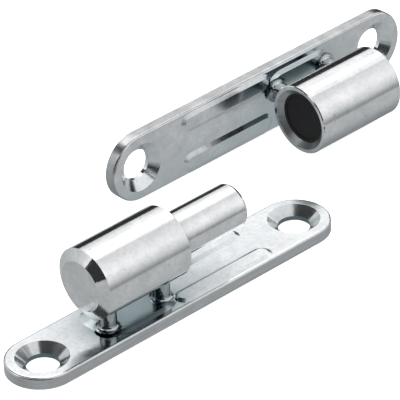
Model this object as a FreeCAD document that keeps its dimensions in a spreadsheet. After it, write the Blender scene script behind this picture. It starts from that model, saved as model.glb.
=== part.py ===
"""Lift-off door hinge, laid out as its two leaves: the frame leaf flat on its back, and the door
leaf standing on a long edge beside it, its knuckle towards the frame leaf.

Millimetres. X runs along the hinge pin, towards its tip; +Z is up, away from the frame leaf's back.
The origin is the middle of the frame plate's back face.
"""
import FreeCAD, Part
import math
import os
import re

import Sketcher

Vector = FreeCAD.Vector
Rotation = FreeCAD.Rotation

doc = FreeCAD.newDocument("LiftOffHinge")
sizes = doc.addObject("Spreadsheet::Sheet", "Sizes")

DRIVING_SIZES = [
    # plates: one pressing, used on both leaves
    ("plate_length", 71.0),
    ("plate_width", 12.9),
    ("plate_thickness", 2.2),
    ("plate_edge_round", 0.5),
    ("hole_spacing", 58.0),
    ("hole_dia", 5.8),
    ("sink_dia", 9.3),
    ("sink_depth", 1.4),
    # raised land under the knuckle, with a long ramp at its outer end
    ("land_outer", 18.1),
    ("land_inner", 1.6),
    ("land_ramp", 1.7),
    ("land_slope", 0.8),
    ("land_half_width", 5.2),
    ("land_corner", 3.6),
    ("land_rise", 0.4),
    # two low pressed ribs on the plate's other half, running out of the land
    ("rib_start", -2.6),
    ("rib_end", 19.2),
    ("rib_offset", 4.1),
    ("rib_width", 3.8),
    # stems, riveted through the plate
    ("stem_dia", 3.2),
    ("stem_inner_place", 3.8),
    ("stem_outer_place", 15.9),
    ("stem_socket", 1.5),
    ("stem_foot_round", 0.8),
    ("rivet_dia", 2.4),
    ("fixed_gap", 0.02),
    # knuckles
    ("axis_height", 13.1),
    ("axis_offset", 1.75),
    ("knuckle_dia", 13.0),
    ("knuckle_length", 19.3),
    ("knuckle_rim", 0.3),
    ("frame_knuckle_inner", 2.0),
    ("frame_face_dia", 9.2),
    ("frame_chamfer", 1.15),
    ("pin_socket", 9.0),
    ("door_mouth", -0.8),
    ("mouth_dia", 11.5),
    ("mouth_depth", 0.85),
    ("door_bore_depth", 16.65),
    # pin, liner and pad
    ("pin_dia", 8.1),
    ("pin_reach", 15.4),
    ("pin_chamfer", 0.7),
    ("liner_dia", 9.4),
    ("liner_length", 15.65),
    ("running_gap", 0.03),
    ("thrust_dia", 8.06),
    ("thrust_thickness", 1.2),
    ("thrust_inset", 0.95),
    # where the door leaf lies, measured from the frame plate's middle
    ("door_along", 46.7),
    ("door_across", 28.8),
]

for row, (alias, value) in enumerate(DRIVING_SIZES, start=1):
    sizes.set(f"A{row}", alias)
    sizes.set(f"B{row}", str(value))
    sizes.setAlias(f"B{row}", alias)
doc.recompute()


def size(expression):
    """The number that an expression in the sheet's names works out to."""
    return float(sizes.evalExpression(expression))


def bound(expression):
    """The same expression as other objects write it, with the sheet's name before each alias."""
    return re.sub(r"[a-z]+(_[a-z]+)+", r"Sizes.\g<0>", expression)


def new_body(name):
    body = doc.addObject("PartDesign::Body", name)
    body.Label = name
    return body


def new_sketch(body, name, role, lift=None):
    """A sketch on one of the body's own origin planes, lifted along the plane's normal."""
    sketch = body.newObject("Sketcher::SketchObject", f"{body.Name}_{name}")
    plane = next(feature for feature in body.Origin.OriginFeatures if feature.Role == role)
    sketch.AttachmentSupport = [(plane, "")]
    sketch.MapMode = "FlatFace"
    if lift:
        sketch.setExpression("AttachmentOffset.Base.z", bound(lift))
    return sketch


def drive(sketch, kind, references, expression):
    """A dimension of the sketch that follows the sheet."""
    index = sketch.addConstraint(Sketcher.Constraint(kind, *references, size(expression)))
    sketch.setExpression(f"Constraints[{index}]", bound(expression))


def fix_point(sketch, geometry, end, place):
    drive(sketch, "DistanceX", (-1, 1, geometry, end), place[0])
    drive(sketch, "DistanceY", (-1, 1, geometry, end), place[1])


def draw_polygon(sketch, corners):
    """A closed outline through corners, each a pair of expressions."""
    points = [Vector(size(across), size(up), 0) for across, up in corners]
    count = len(points)
    for i in range(count):
        sketch.addGeometry(Part.LineSegment(points[i], points[(i + 1) % count]))
    for i in range(count):
        sketch.addConstraint(Sketcher.Constraint("Coincident", i, 2, (i + 1) % count, 1))
    for i, corner in enumerate(corners):
        fix_point(sketch, i, 1, corner)


def draw_circle(sketch, centre, radius):
    place = Vector(size(centre[0]), size(centre[1]), 0)
    index = sketch.addGeometry(Part.Circle(place, Vector(0, 0, 1), size(radius)))
    fix_point(sketch, index, 3, centre)
    drive(sketch, "Radius", (index,), radius)


def draw_tangent_loop(sketch, arcs):
    """Arcs joined by tangent lines, anticlockwise. Each arc is (centre, radius, start, end angle)."""
    first = sketch.GeometryCount
    ends = []
    for centre, radius, start, end in arcs:
        place = Vector(size(centre[0]), size(centre[1]), 0)
        circle = Part.Circle(place, Vector(0, 0, 1), size(radius))
        arc = Part.ArcOfCircle(circle, start, end)
        sketch.addGeometry(arc)
        ends.append((arc.StartPoint, arc.EndPoint))
    count = len(arcs)
    for i in range(count):
        sketch.addGeometry(Part.LineSegment(ends[i][1], ends[(i + 1) % count][0]))
    for i in range(count):
        line = first + count + i
        sketch.addConstraint(Sketcher.Constraint("Tangent", first + i, 2, line, 1))
        sketch.addConstraint(Sketcher.Constraint("Tangent", line, 2, first + (i + 1) % count, 1))
    for i, (centre, radius, _, _) in enumerate(arcs):
        fix_point(sketch, first + i, 3, centre)
        drive(sketch, "Radius", (first + i,), radius)


def add_feature(body, kind, name, sketch, **values):
    feature = body.newObject(f"PartDesign::{kind}", f"{body.Name}_{name}")
    if sketch:
        feature.Profile = sketch
    for key, value in values.items():
        if isinstance(value, str) and key in ("Length", "Radius", "Size"):
            feature.setExpression(key, bound(value))
        else:
            setattr(feature, key, value)
    body.Tip = feature
    doc.recompute()
    return feature


def turned(name, corners):
    """A body turned about the X axis from the half section through corners (along, radius)."""
    body = new_body(name)
    section = new_sketch(body, "section", "XZ_Plane")
    draw_polygon(section, corners)
    add_feature(body, "Revolution", "turning", section, ReferenceAxis=(section, ["H_Axis"]), Angle=360)
    return body


QUARTER = math.pi / 2


def draw_stadium(sketch, left, right, middle, radius):
    """A straight-sided outline with half-round ends, whose tips are at left and right."""
    draw_tangent_loop(sketch, [
        ((f"{right} - ({radius})", middle), radius, -QUARTER, QUARTER),
        ((f"{left} + ({radius})", middle), radius, QUARTER, 3 * QUARTER),
    ])


def land_outline(sketch, outer, inner, half_width, corner):
    """The raised land's rounded rectangle, from -outer to -inner along the plate."""
    near, far = f"-({inner}) - ({corner})", f"-({outer}) + ({corner})"
    side = f"({half_width}) - ({corner})"
    draw_tangent_loop(sketch, [
        ((near, f"-({side})"), corner, -QUARTER, 0),
        ((near, side), corner, 0, QUARTER),
        ((far, side), corner, QUARTER, 2 * QUARTER),
        ((far, f"-({side})"), corner, 2 * QUARTER, 3 * QUARTER),
    ])


def raise_step(body, name, draw_foot, draw_crown):
    """A low raised step with sloping sides; each draw function takes the sketch to draw in."""
    foot = new_sketch(body, f"{name}_foot", "XY_Plane", "plate_thickness - land_rise / 2")
    draw_foot(foot)
    crown = new_sketch(body, f"{name}_crown", "XY_Plane", "plate_thickness + land_rise")
    draw_crown(crown)
    step = body.newObject("PartDesign::AdditiveLoft", f"{body.Name}_{name}")
    step.Profile = foot
    step.Sections = [crown]
    step.Ruled = True
    body.Tip = step
    doc.recompute()


def raise_land(body):
    raise_step(
        body, "land",
        lambda sketch: land_outline(sketch, "land_outer + land_ramp / 2", "land_inner - land_slope / 2",
                                    "land_half_width + land_slope / 2", "land_corner + land_slope / 2"),
        lambda sketch: land_outline(sketch, "land_outer - land_ramp", "land_inner + land_slope",
                                    "land_half_width - land_slope", "land_corner - land_slope"))


def raise_rib(body, name, side):
    def outline(sketch, inset):
        draw_stadium(sketch, f"rib_start + {inset}", f"rib_end - ({inset})", f"{side}rib_offset",
                     f"rib_width / 2 - ({inset})")

    raise_step(body, name, lambda sketch: outline(sketch, "-land_slope / 2"),
               lambda sketch: outline(sketch, "land_slope"))


def top_edges(shape, height, least):
    """Names of the plate's outer edges that lie at height and stand at least so far from the middle."""
    found = []
    for i, edge in enumerate(shape.Edges, start=1):
        box = edge.BoundBox
        flat = abs(box.ZMax - height) < 1e-4 and abs(box.ZMin - height) < 1e-4
        middle = edge.valueAt((edge.FirstParameter + edge.LastParameter) / 2)
        reach = size("plate_length / 2 - plate_width / 2")
        past = max(abs(middle.x) - reach, 0)
        if flat and (past * past + middle.y * middle.y) ** 0.5 > least:
            found.append(f"Edge{i}")
    return found


def build_plate(name):
    """The pressed plate: outline, raised land and ribs, countersunk screw holes and rivet holes."""
    body = new_body(name)
    outline = new_sketch(body, "outline", "XY_Plane")
    draw_stadium(outline, "-plate_length / 2", "plate_length / 2", "0", "plate_width / 2")
    pad = add_feature(body, "Pad", "sheet", outline, Length="plate_thickness")
    edges = top_edges(pad.Shape, size("plate_thickness"), size("plate_width / 2") - 0.01)
    rounding = body.newObject("PartDesign::Fillet", f"{name}_edge")
    rounding.Base = (pad, edges)
    rounding.setExpression("Radius", bound("plate_edge_round"))
    body.Tip = rounding
    doc.recompute()

    raise_land(body)
    raise_rib(body, "rib_near", "-")
    raise_rib(body, "rib_far", "")

    holes = new_sketch(body, "holes", "XY_Plane")
    for side in ("-", ""):
        draw_circle(holes, (f"{side}hole_spacing / 2", "0"), "hole_dia / 2")
    for place in ("stem_inner_place", "stem_outer_place"):
        draw_circle(holes, (f"-{place}", "-axis_offset"), "rivet_dia / 2 + fixed_gap")
    add_feature(body, "Pocket", "drilling", holes, Type=1, Midplane=True)
    for side, label in (("-", "outer"), ("", "inner")):
        cone = body.newObject("PartDesign::SubtractiveCone", f"{name}_sink_{label}")
        plane = next(f for f in body.Origin.OriginFeatures if f.Role == "XY_Plane")
        cone.AttachmentSupport = [(plane, "")]
        cone.MapMode = "FlatFace"
        cone.setExpression("AttachmentOffset.Base.x", bound(f"{side}hole_spacing / 2"))
        cone.setExpression("AttachmentOffset.Base.z", bound("plate_thickness - sink_depth"))
        cone.setExpression("Radius1", bound("hole_dia / 2"))
        cone.setExpression("Radius2", bound("sink_dia / 2"))
        cone.setExpression("Height", bound("sink_depth"))
        body.Tip = cone
        doc.recompute()
    return body


def build_stem(name):
    """A round stem turned about Z: rivet tail in the plate, shank up into the knuckle's socket."""
    body = new_body(name)
    seat = "plate_thickness + land_rise"
    top = "axis_height - knuckle_dia / 2 + stem_socket"
    section = new_sketch(body, "section", "XZ_Plane")
    flare = [math.radians(degrees) for degrees in range(0, 91, 15)]
    draw_polygon(section, [
        ("0", "0"),
        ("rivet_dia / 2", "0"),
        ("rivet_dia / 2", seat),
        *((f"stem_dia / 2 + stem_foot_round * {1 - math.sin(turn):.5f}",
           f"{seat} + stem_foot_round * {1 - math.cos(turn):.5f}") for turn in flare),
        ("stem_dia / 2", top),
        ("0", top),
    ])
    add_feature(body, "Revolution", "turning", section, ReferenceAxis=(section, ["V_Axis"]), Angle=360)
    return body


def cut_stem_sockets(body, start, places):
    """Flat-bottomed holes in the knuckle's underside for the stems, start being its own zero."""
    sockets = new_sketch(body, "sockets", "XY_Plane", "-knuckle_dia / 2 + stem_socket")
    for place in places:
        draw_circle(sockets, (f"{place} - ({start})", "0"), "stem_dia / 2 + fixed_gap")
    before = body.Shape.Volume
    add_feature(body, "Pocket", "sockets_cut", sockets, Length="knuckle_dia / 2")
    if body.Shape.Volume > before - 1:
        raise RuntimeError(f"{body.Name}: the stem sockets cut nothing")


def build_frame_knuckle():
    radius = "knuckle_dia / 2"
    socket = "pin_dia / 2 + fixed_gap"
    body = turned("frame_knuckle", [
        ("0", "0"),
        ("0", "frame_face_dia / 2"),
        ("frame_chamfer", radius),
        ("knuckle_length - knuckle_rim", radius),
        ("knuckle_length", f"{radius} - knuckle_rim"),
        ("knuckle_length", socket),
        ("knuckle_length - pin_socket", socket),
        ("knuckle_length - pin_socket", "0"),
    ])
    start = "-frame_knuckle_inner - knuckle_length"
    cut_stem_sockets(body, start, ("-stem_outer_place", "-stem_inner_place"))
    return body


def build_hinge_pin():
    radius = "pin_dia / 2"
    length = "(pin_socket + pin_reach)"
    return turned("hinge_pin", [
        ("0", "0"),
        ("0", radius),
        (f"{length} - pin_chamfer", radius),
        (f"{length} - pin_chamfer / 3", f"{radius} - pin_chamfer / 3"),
        (length, f"{radius} - pin_chamfer"),
        (length, "0"),
    ])


def build_door_knuckle():
    radius = "knuckle_dia / 2"
    bore = "liner_dia / 2 + running_gap"
    body = turned("door_knuckle", [
        ("knuckle_rim / 2", radius),
        ("knuckle_length - knuckle_rim", radius),
        ("knuckle_length", f"{radius} - knuckle_rim"),
        ("knuckle_length", "0"),
        ("door_bore_depth", "0"),
        ("door_bore_depth", bore),
        ("mouth_depth", bore),
        ("0", "mouth_dia / 2"),
        ("0", f"{radius} - knuckle_rim / 2"),
    ])
    cut_stem_sockets(body, "door_mouth", ("stem_inner_place", "stem_outer_place"))
    return body


def build_liner():
    inner = "pin_dia / 2 + running_gap"
    return turned("knuckle_liner", [
        ("0", inner),
        ("0", "liner_dia / 2"),
        ("liner_length", "liner_dia / 2"),
        ("liner_length", inner),
    ])


def build_thrust_pad():
    return turned("thrust_pad", [
        ("0", "0"),
        ("0", "thrust_dia / 2"),
        ("thrust_thickness", "thrust_dia / 2"),
        ("thrust_thickness", "0"),
    ])


def place_frame(body, along="0", across="0", up="0"):
    """Puts a piece of the frame leaf at its place, given as expressions."""
    for axis, expression in zip("xyz", (along, across, up)):
        body.setExpression(f"Placement.Base.{axis}", bound(expression))


DOOR_TURN = Rotation(Vector(1, 0, 0), 90)


def place_door(body, along="0", up="0", out="0", spin=0):
    """Puts a piece of the door leaf, which stands with its plate's back at door_across. along and
    up are measured from the plate's middle and out from its back face; spin turns it about out."""
    body.Placement = FreeCAD.Placement(Vector(), DOOR_TURN * Rotation(Vector(0, 0, 1), spin))
    body.setExpression("Placement.Base.x", bound(f"door_along + {along}"))
    body.setExpression("Placement.Base.y", bound(f"door_across - ({out})"))
    body.setExpression("Placement.Base.z", bound(f"plate_width / 2 + {up}"))


HALF_TURN = 180

place_frame(build_plate("frame_plate"))
place_frame(build_frame_knuckle(), "-frame_knuckle_inner - knuckle_length", "-axis_offset", "axis_height")
place_frame(build_hinge_pin(), "-frame_knuckle_inner - pin_socket", "-axis_offset", "axis_height")
place_frame(build_stem("frame_stem_outer"), "-stem_outer_place", "-axis_offset")
place_frame(build_stem("frame_stem_inner"), "-stem_inner_place", "-axis_offset")

place_door(build_plate("door_plate"), spin=HALF_TURN)
place_door(build_door_knuckle(), "door_mouth", "axis_offset", "axis_height")
place_door(build_stem("door_stem_mouth"), "stem_inner_place", "axis_offset")
place_door(build_stem("door_stem_closed"), "stem_outer_place", "axis_offset")
place_door(build_liner(), "door_mouth + mouth_depth", "axis_offset", "axis_height")
place_door(build_thrust_pad(), "door_mouth + thrust_inset", "axis_offset", "axis_height")

doc.recompute()

NODES = [
    "frame_plate", "frame_knuckle", "hinge_pin", "frame_stem_outer", "frame_stem_inner",
    "door_plate", "door_knuckle", "door_stem_mouth", "door_stem_closed", "knuckle_liner", "thrust_pad",
]

for item in doc.Objects:
    if "Invalid" in item.State or "Error" in item.State:
        raise RuntimeError(f"{item.Name} failed: {item.State}")
os.makedirs("parts", exist_ok=True)
for name in NODES:
    shape = doc.getObject(name).Shape
    if shape.isNull() or not shape.isValid() or len(shape.Solids) != 1:
        raise RuntimeError(f"{name} is not one valid solid")
for name in NODES:
    doc.getObject(name).Shape.exportStep(f"parts/{name}.step")
    print(name, round(doc.getObject(name).Shape.Volume, 2))
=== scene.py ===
"""The lift-off hinge as it lies for its picture: bright zinc-plated steel and a black nylon liner,
on a plain white floor under broad studio lights."""
import math

import bpy
from mathutils import Matrix, Vector


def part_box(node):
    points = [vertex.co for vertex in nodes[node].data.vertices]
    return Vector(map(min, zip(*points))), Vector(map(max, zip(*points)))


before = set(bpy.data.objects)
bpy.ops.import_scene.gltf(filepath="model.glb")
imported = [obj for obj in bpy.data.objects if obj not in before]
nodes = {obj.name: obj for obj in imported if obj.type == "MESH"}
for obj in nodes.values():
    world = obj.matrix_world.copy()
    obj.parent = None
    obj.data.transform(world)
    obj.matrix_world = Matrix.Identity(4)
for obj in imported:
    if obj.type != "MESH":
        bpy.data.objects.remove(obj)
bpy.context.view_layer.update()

MM = 0.001
STAGE_MIDDLE = Vector((24 * MM, 12 * MM, 8 * MM))


def add_node(tree, kind, **values):
    node = tree.nodes.new(kind)
    for key, value in values.items():
        setattr(node, key, value)
    return node


# a Mix node's sockets for two colours, and for the colour that it gives
MIX_FIRST, MIX_SECOND, MIX_RESULT = 6, 7, 2


class Graph:
    """A small helper for building a material's nodes."""

    def __init__(self, name):
        self.material = bpy.data.materials.new(name)
        self.material.use_nodes = True
        self.tree = self.material.node_tree
        self.shader = self.tree.nodes["Principled BSDF"]
        self.place = self.add("ShaderNodeTexCoord").outputs["Object"]

    def add(self, kind, **values):
        return add_node(self.tree, kind, **values)

    def link(self, source, target):
        self.tree.links.new(source, target)

    def scaled(self, scale):
        mapping = self.add("ShaderNodeMapping")
        mapping.inputs["Scale"].default_value = scale
        self.link(self.place, mapping.inputs["Vector"])
        return mapping.outputs["Vector"]

    def noise(self, scale, detail=3, roughness=0.5, place=None):
        node = self.add("ShaderNodeTexNoise")
        node.inputs["Scale"].default_value = scale
        node.inputs["Detail"].default_value = detail
        node.inputs["Roughness"].default_value = roughness
        self.link(place or self.place, node.inputs["Vector"])
        return node.outputs["Fac"]

    def spread(self, value, low, high, to_low, to_high):
        """Maps low and high to to_low and to_high, in a straight line that stops at both."""
        node = self.add("ShaderNodeMapRange")
        limits = {"From Min": low, "From Max": high, "To Min": to_low, "To Max": to_high}
        for key, number in limits.items():
            node.inputs[key].default_value = number
        self.link(value, node.inputs["Value"])
        return node.outputs["Result"]

    def mixed(self, factor, first, second):
        """first where factor is 0 and second where it is 1, each a colour or an output."""
        node = self.add("ShaderNodeMix", data_type="RGBA")
        self.link(factor, node.inputs["Factor"])
        for index, value in ((MIX_FIRST, first), (MIX_SECOND, second)):
            if isinstance(value, tuple):
                node.inputs[index].default_value = (*value, 1)
            else:
                self.link(value, node.inputs[index])
        return node.outputs[MIX_RESULT]

    def bump(self, height, distance, strength=1.0, before=None):
        node = self.add("ShaderNodeBump")
        node.inputs["Distance"].default_value = distance
        node.inputs["Strength"].default_value = strength
        self.link(height, node.inputs["Height"])
        if before:
            self.link(before, node.inputs["Normal"])
        return node.outputs["Normal"]


# how fine each mark in the zinc is, as noise scales per metre
DENTS, CLOUDS, SPECKS, GRAIN, PITS = 110, 260, 900, 1300, 1500
SPECK_TONE = (0.30, 0.31, 0.32)
GRAIN_TONE = (0.55, 0.56, 0.57)
STREAK_TONE = (0.40, 0.41, 0.42)
PIT_DEPTH = 0.006 * MM
LINE_DEPTH = 0.004 * MM
# how far the ambient occlusion that places the painted shade looks for nearby surfaces
PAINTED_SHADE_REACH = 11 * MM


def zinc(name, bright, dull, rough, wave, rings=None, streaks=None,
         painted_shade_tone=(0.16, 0.215, 0.235)):
    """Bright zinc plate over steel: cloudy patches between bright and dull, dents up to wave mm deep,
    fine pits, a few dark specks, and painted shade, the last tone, where ambient occlusion finds
    recesses, under barrels and between parts. rough is the middling roughness.
    Turned pieces get fine rings and sheared edges get streaks. Both are given as noise scales along
    X, Y and Z: the lines run along the axes that have the small numbers."""
    g = Graph(name)
    clouds = g.noise(CLOUDS, 5, 0.65)
    tone = g.mixed(g.spread(clouds, 0.36, 0.66, 0, 1), dull, bright)
    tone = g.mixed(g.spread(g.noise(SPECKS, 3, 0.7), 0.66, 0.73, 0, 0.55), tone, SPECK_TONE)
    tone = g.mixed(g.spread(g.noise(GRAIN, 2, 0.6), 0.45, 0.7, 0, 0.3), tone, GRAIN_TONE)
    # painted shade: ambient occlusion turns the colour towards the shade tone in recesses, under the
    # barrel and between the stems, standing in for the shade and dark reflections there
    painted_shade_ao = g.add("ShaderNodeAmbientOcclusion", samples=16)
    painted_shade_ao.inputs["Distance"].default_value = PAINTED_SHADE_REACH
    tone = g.mixed(g.spread(painted_shade_ao.outputs["AO"], 0.38, 0.90, 0, 1), painted_shade_tone, tone)
    normal = g.bump(g.noise(DENTS, 1), wave * MM)
    normal = g.bump(g.noise(PITS, 3, 0.6), PIT_DEPTH, 1, normal)
    if rings:
        normal = g.bump(g.noise(1, 2, 0.5, g.scaled(rings)), LINE_DEPTH, 1, normal)
    if streaks:
        marks = g.noise(1, 3, 0.6, g.scaled(streaks))
        tone = g.mixed(g.spread(marks, 0.42, 0.7, 0, 0.5), tone, STREAK_TONE)
        normal = g.bump(marks, LINE_DEPTH, 1, normal)
    g.link(tone, g.shader.inputs["Base Color"])
    g.link(g.spread(clouds, 0.3, 0.7, rough * 1.5, rough * 0.75), g.shader.inputs["Roughness"])
    g.shader.inputs["Metallic"].default_value = 1
    g.link(normal, g.shader.inputs["Normal"])
    return g.material


NYLON_TONES = (0.006, 0.006, 0.007), (0.014, 0.014, 0.015)


def nylon(name):
    """Moulded black nylon, dull and faintly mottled."""
    g = Graph(name)
    mottle = g.noise(700, 3)
    g.link(g.mixed(mottle, *NYLON_TONES), g.shader.inputs["Base Color"])
    g.link(g.spread(mottle, 0.3, 0.7, 0.5, 0.65), g.shader.inputs["Roughness"])
    g.shader.inputs["Specular IOR Level"].default_value = 0.15
    g.link(g.bump(g.noise(2600, 2), 0.01 * MM, 0.5), g.shader.inputs["Normal"])
    return g.material


# each zinc darkens to its painted shade tone in recesses and under the barrels; the frame pressing
# and the turned pieces use the dark blue-grey default
frame_zinc = zinc("zinc_frame_pressing", (0.88, 0.90, 0.91), (0.74, 0.76, 0.78), 0.15, 0.12)
door_zinc = zinc("zinc_door_pressing", (0.86, 0.88, 0.89), (0.70, 0.72, 0.74), 0.15, 0.12,
                 painted_shade_tone=(0.58, 0.64, 0.66))
turned_zinc = zinc("zinc_turning", (0.89, 0.89, 0.90), (0.76, 0.77, 0.78), 0.085, 0.05,
                   rings=(4200, 90, 90))
black_nylon = nylon("black_nylon")

frame_edge_zinc = zinc("zinc_frame_edge", (0.84, 0.85, 0.86), (0.68, 0.69, 0.70), 0.24, 0.05,
                       streaks=(60, 60, 1800), painted_shade_tone=(0.50, 0.525, 0.535))
door_edge_zinc = zinc("zinc_door_edge", (0.64, 0.65, 0.66), (0.42, 0.43, 0.44), 0.24, 0.05,
                      streaks=(60, 1800, 60), painted_shade_tone=(0.35, 0.37, 0.38))
bored_zinc = zinc("zinc_bored", (0.50, 0.51, 0.51), (0.34, 0.35, 0.35), 0.3, 0.02,
                  rings=(3000, 60, 60))

# the first word that a piece's name holds decides its look, so liner comes before knuckle
LOOKS = {
    "liner": black_nylon,
    "pad": black_nylon,
    "frame_plate": frame_zinc,
    "door_plate": door_zinc,
    "knuckle": turned_zinc,
    "pin": turned_zinc,
    "stem": turned_zinc,
}
for name, piece in nodes.items():
    kind = next(word for word in LOOKS if word in name)
    piece.data.materials.clear()
    piece.data.materials.append(LOOKS[kind])

TRIM_SLOT = 1
Y, Z = 1, 2
EDGE_STARTS = 0.97


def dress_edge(name, material, across):
    """Gives a plate's outer side wall, where it was sheared, a material of its own. across is the
    index of the axis that the plate's width lies along."""
    plate = nodes[name]
    plate.data.materials.append(material)
    low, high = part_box(name)
    middle, half_width = (low + high) / 2, (high[across] - low[across]) / 2
    reach = (high.x - low.x) / 2 - half_width
    for face in plate.data.polygons:
        place = face.center - middle
        past_end = max(abs(place.x) - reach, 0)
        if math.hypot(past_end, place[across]) > EDGE_STARTS * half_width:
            face.material_index = TRIM_SLOT


def dress_mouth(name, material, depth, inner, outer):
    """Gives the lead-in cone in the door barrel's mouth the marks of the drill that cut it. inner
    and outer are the radii that it lies between."""
    barrel = nodes[name]
    barrel.data.materials.append(material)
    low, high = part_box(name)
    for face in barrel.data.polygons:
        spread = (face.center - (low + high) / 2).yz.length
        if face.center.x < low.x + depth and inner < spread < outer:
            face.material_index = TRIM_SLOT


dress_mouth("door_knuckle", bored_zinc, depth=0.8 * MM, inner=4.75 * MM, outer=5.75 * MM)
dress_edge("frame_plate", frame_edge_zinc, across=Y)
dress_edge("door_plate", door_edge_zinc, across=Z)


def spherical(azimuth, elevation):
    """The unit direction that az, el looks from: azimuth turns from -Y towards +X, elevation rises
    towards +Z.
    """
    a, e = math.radians(azimuth), math.radians(elevation)
    return Vector((math.sin(a) * math.cos(e), -math.cos(a) * math.cos(e), math.sin(e)))


# camera, at the picture's own viewing angle
VIEW_AZIMUTH, VIEW_ELEVATION, VIEW_ROLL = -41.42, 32.24, -2.95
VIEW_DISTANCE = 0.658
VIEW_SHIFT = (4.812 * MM, 16.369 * MM)
LENS, SENSOR_WIDTH, NEAR_CLIP = 348.6, 36, 0.01

back = spherical(VIEW_AZIMUTH, VIEW_ELEVATION)
right = Vector((math.cos(math.radians(VIEW_AZIMUTH)), math.sin(math.radians(VIEW_AZIMUTH)), 0))
up = back.cross(right)
roll = math.radians(VIEW_ROLL)
right, up = (right * math.cos(roll) + up * math.sin(roll),
             up * math.cos(roll) - right * math.sin(roll))
camera_data = bpy.data.cameras.new("camera")
camera_data.lens = LENS
camera_data.sensor_width = SENSOR_WIDTH
camera_data.clip_start = NEAR_CLIP
camera = bpy.data.objects.new("camera", camera_data)
bpy.context.scene.collection.objects.link(camera)
turn = Matrix((right, up, back)).transposed().to_4x4()
camera.matrix_world = Matrix.Translation(
    back * VIEW_DISTANCE + right * VIEW_SHIFT[0] + up * VIEW_SHIFT[1]) @ turn
bpy.context.scene.camera = camera

# floor: white paper, lit until it is as white as the background, and left out of reflections
FLOOR_SIZE = 4
FLOOR_CENTRE = (20 * MM, 0, -0.1 * MM)
PAPER_TONES = (0.93, 0.93, 0.93), (0.95, 0.95, 0.95)
PAPER_GLOW = 0.8

bpy.ops.mesh.primitive_plane_add(size=FLOOR_SIZE, location=FLOOR_CENTRE)
floor = bpy.context.object
floor.name = "floor"
paper = Graph("floor_paper")
paper.link(paper.mixed(paper.noise(300, 2), *PAPER_TONES), paper.shader.inputs["Base Color"])
paper.shader.inputs["Roughness"].default_value = 0.9
paper.shader.inputs["Emission Color"].default_value = (1, 1, 1, 1)
paper.shader.inputs["Emission Strength"].default_value = PAPER_GLOW
floor.data.materials.append(paper.material)
floor.visible_glossy = False

# studio: what the metal reflects, from the floor in front, up over the softbox and down behind.
# Each stop is an angle about the X axis, from the front horizon up, and how bright it is there.
STUDIO = [
    (-180, 0.60), (-150, 0.50), (-120, 0.42), (-60, 0.52), (-19, 0.54), (-12, 0.30),
    (-4, 0.45), (4, 0.66), (20, 0.90), (34, 1.06), (52, 1.02), (66, 0.90), (83, 0.82), (88, 1.16),
    (143, 1.12), (152, 0.80), (165, 0.70), (180, 0.60),
]
WHITE = Vector((1, 1, 1))
COOL_WHITE = Vector((0.97, 1.0, 1.01))
COOL_BELOW = 0.7


def build_studio():
    """A world that is plain white to the camera, and the studio to everything that reflects it."""
    world = bpy.data.worlds.new("studio")
    world.use_nodes = True
    tree = world.node_tree
    tree.nodes.clear()

    def add(kind, **values):
        return add_node(tree, kind, **values)

    split = add("ShaderNodeSeparateXYZ")
    tree.links.new(add("ShaderNodeTexCoord").outputs["Generated"], split.inputs[0])
    front = add("ShaderNodeMath", operation="MULTIPLY")
    tree.links.new(split.outputs["Y"], front.inputs[0])
    front.inputs[1].default_value = -1
    angle = add("ShaderNodeMath", operation="ARCTAN2")
    tree.links.new(split.outputs["Z"], angle.inputs[0])
    tree.links.new(front.outputs[0], angle.inputs[1])
    curve = add("ShaderNodeMapRange")
    curve.inputs["From Min"].default_value = -math.pi
    curve.inputs["From Max"].default_value = math.pi
    tree.links.new(angle.outputs[0], curve.inputs["Value"])
    ramp = add("ShaderNodeValToRGB")
    tree.links.new(curve.outputs["Result"], ramp.inputs["Fac"])
    stops = ramp.color_ramp.elements
    for degrees, value in STUDIO:
        where = (degrees + 180) / 360
        stop = stops[0] if degrees == -180 else stops[-1] if degrees == 180 else stops.new(where)
        tint = COOL_WHITE if value < COOL_BELOW else WHITE
        stop.color = (*(tint * value), 1)
    reflected = add("ShaderNodeBackground")
    tree.links.new(ramp.outputs["Color"], reflected.inputs["Color"])
    plain = add("ShaderNodeBackground")
    plain.inputs["Color"].default_value = (1, 1, 1, 1)
    seen = add("ShaderNodeLightPath")
    choose = add("ShaderNodeMixShader")
    tree.links.new(seen.outputs["Is Camera Ray"], choose.inputs[0])
    tree.links.new(reflected.outputs[0], choose.inputs[1])
    tree.links.new(plain.outputs[0], choose.inputs[2])
    tree.links.new(choose.outputs[0], add("ShaderNodeOutputWorld").inputs["Surface"])
    bpy.context.scene.world = world


build_studio()


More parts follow.
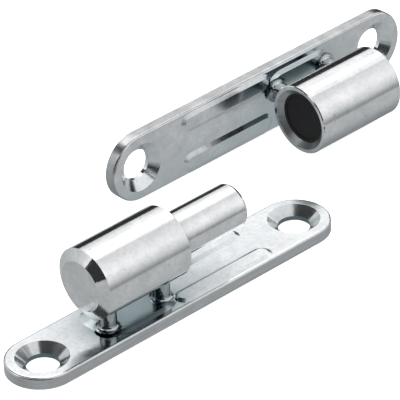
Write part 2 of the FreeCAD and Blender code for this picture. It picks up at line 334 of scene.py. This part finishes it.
def area_light(name, azimuth, elevation, distance, width, height, power):
    """A rectangular light aimed at the middle of the hinge."""
    data = bpy.data.lights.new(name, "AREA")
    data.shape = "RECTANGLE"
    data.size, data.size_y = width, height
    data.energy = power
    lamp = bpy.data.objects.new(name, data)
    bpy.context.scene.collection.objects.link(lamp)
    away = spherical(azimuth, elevation)
    facing = away.to_track_quat("Z", "Y").to_matrix().to_4x4()
    lamp.matrix_world = Matrix.Translation(STAGE_MIDDLE + away * distance) @ facing


area_light("softbox", azimuth=150, elevation=62, distance=0.9, width=0.9, height=0.5, power=1.2)

CARD_TONES = (0.015, 0.016, 0.017), (0.03, 0.031, 0.032)


def dark_card(name, place, side, rise):
    """A black card that shows only in reflections. side and rise are its two edges, as vectors."""
    bpy.ops.mesh.primitive_plane_add(size=1)
    sheet = bpy.context.object
    sheet.name = name
    facing = side.cross(rise).normalized()
    sheet.matrix_world = (
        Matrix.Translation(place) @ Matrix((side, rise, facing)).transposed().to_4x4())
    g = Graph(name)
    g.link(g.mixed(g.noise(9, 2), *CARD_TONES), g.shader.inputs["Base Color"])
    g.shader.inputs["Roughness"].default_value = 0.9
    g.shader.inputs["Specular IOR Level"].default_value = 0
    sheet.data.materials.append(g.material)
    sheet.visible_camera = sheet.visible_diffuse = sheet.visible_shadow = False


def upright_card(name, azimuth, low, high, across, distance=0.6):
    """A dark card that stands between two elevations, as the hinge sees it."""
    out = spherical(azimuth, 0)
    bottom, top = (distance * math.tan(math.radians(angle)) for angle in (low, high))
    rise = Vector((0, 0, 1))
    dark_card(name, STAGE_MIDDLE + out * distance + rise * (bottom + top) / 2,
              out.cross(rise) * across, rise * (top - bottom))


upright_card("card_behind_right", azimuth=133, low=-9, high=20, across=1.15)
upright_card("card_front_left", azimuth=-58, low=-3, high=38, across=1.5)
dark_card("card_overhead_left", place=Vector((-0.27, 0.3, 0.5)),
          side=Vector((0.36, 0, 0)), rise=Vector((0, 1.1, 0)))

scene = bpy.context.scene
scene.view_settings.view_transform = "Standard"
scene.view_settings.exposure = 0
